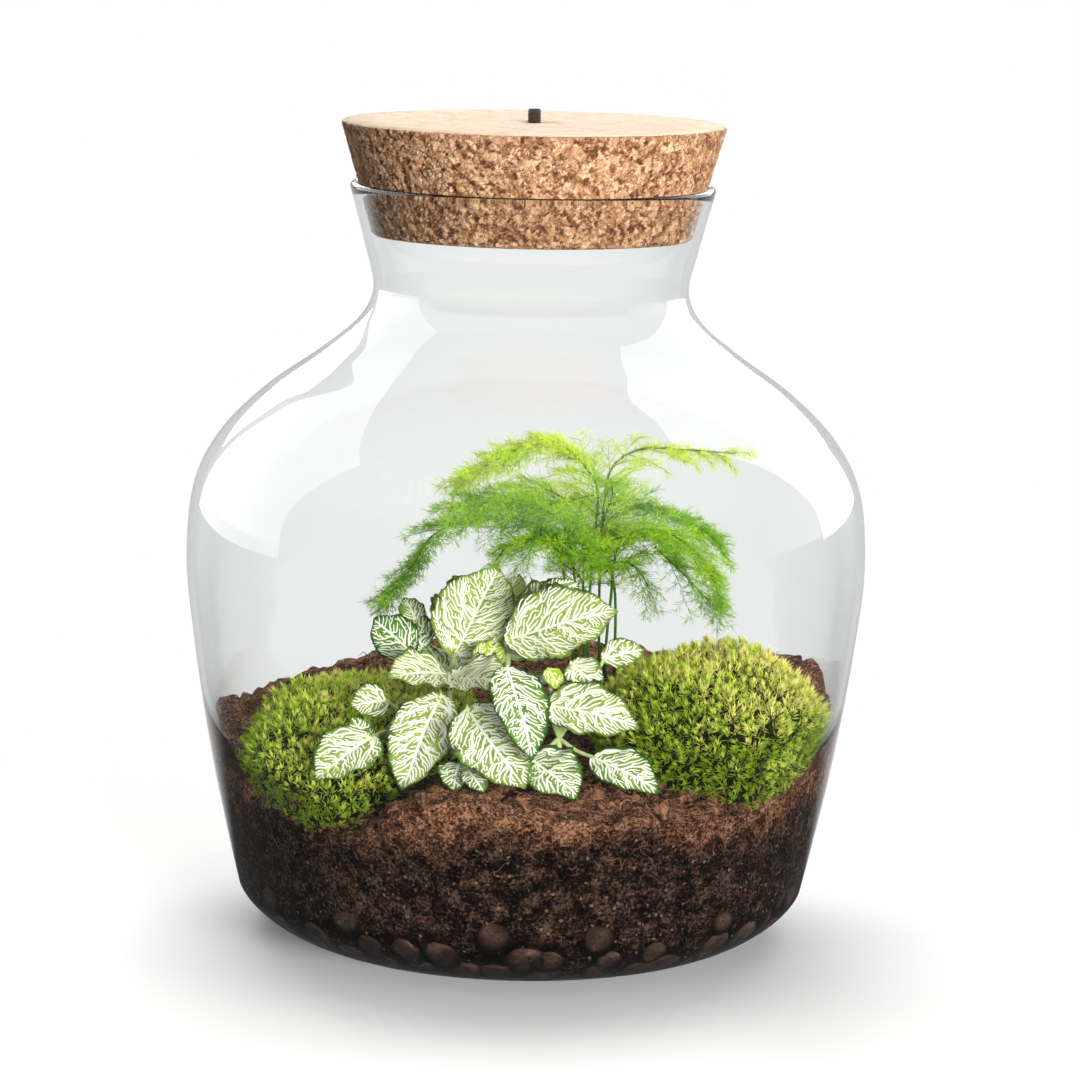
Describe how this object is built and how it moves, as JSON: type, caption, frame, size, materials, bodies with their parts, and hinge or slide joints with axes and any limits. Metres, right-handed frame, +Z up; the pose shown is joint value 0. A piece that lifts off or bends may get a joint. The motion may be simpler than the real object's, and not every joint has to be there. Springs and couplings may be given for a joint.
{
  "type": "glass plant terrarium",
  "caption": "Closed glass jar terrarium: cork stopper with a small lamp, moss cushions, a white-veined fittonia and a feathery asparagus fern in soil over clay pebbles.",
  "frame": {"origin": "middle of the jar's flat underside", "axes": "+Z up along the jar's axis, -Y towards the front with the large fittonia leaves, +X to the right seen from the front"},
  "size_m": [0.25, 0.25, 0.3064],
  "materials": {
    "clear_glass": "clear, smooth, faint green at thick edges",
    "pressed_cork": "matte granules, smooth top",
    "lamp_body": "satin",
    "led_board": "matte solder mask",
    "lamp_lens": "frosted, lit warm white",
    "inlet": "matte, finely ribbed",
    "fired_clay": "matte, dusty",
    "peat_soil": "matte, fibrous, moist",
    "moss": "soft tufts",
    "fittonia": "satin leaf, white veins",
    "asparagus_fern": "soft needles"
  },
  "bodies": {
    "root": {"glass_jar": "clear_glass", "cork_stopper": "pressed_cork", "lamp_housing": "lamp_body", "lamp_led_board": "led_board", "lamp_lens": "lamp_lens", "lamp_inlet": "inlet", "drainage_pebbles": "fired_clay", "soil": "peat_soil", "moss_left": "moss", "moss_right": "moss", "fittonia_shoot_1": "fittonia", "fittonia_shoot_2": "fittonia", "fittonia_shoot_3": "fittonia", "fittonia_shoot_4": "fittonia", "fittonia_shoot_5": "fittonia", "asparagus_frond_1": "asparagus_fern", "asparagus_frond_2": "asparagus_fern", "asparagus_frond_3": "asparagus_fern", "asparagus_frond_4": "asparagus_fern", "asparagus_frond_5": "asparagus_fern", "asparagus_frond_6": "asparagus_fern", "asparagus_frond_7": "asparagus_fern"}
  },
  "joints": []
}
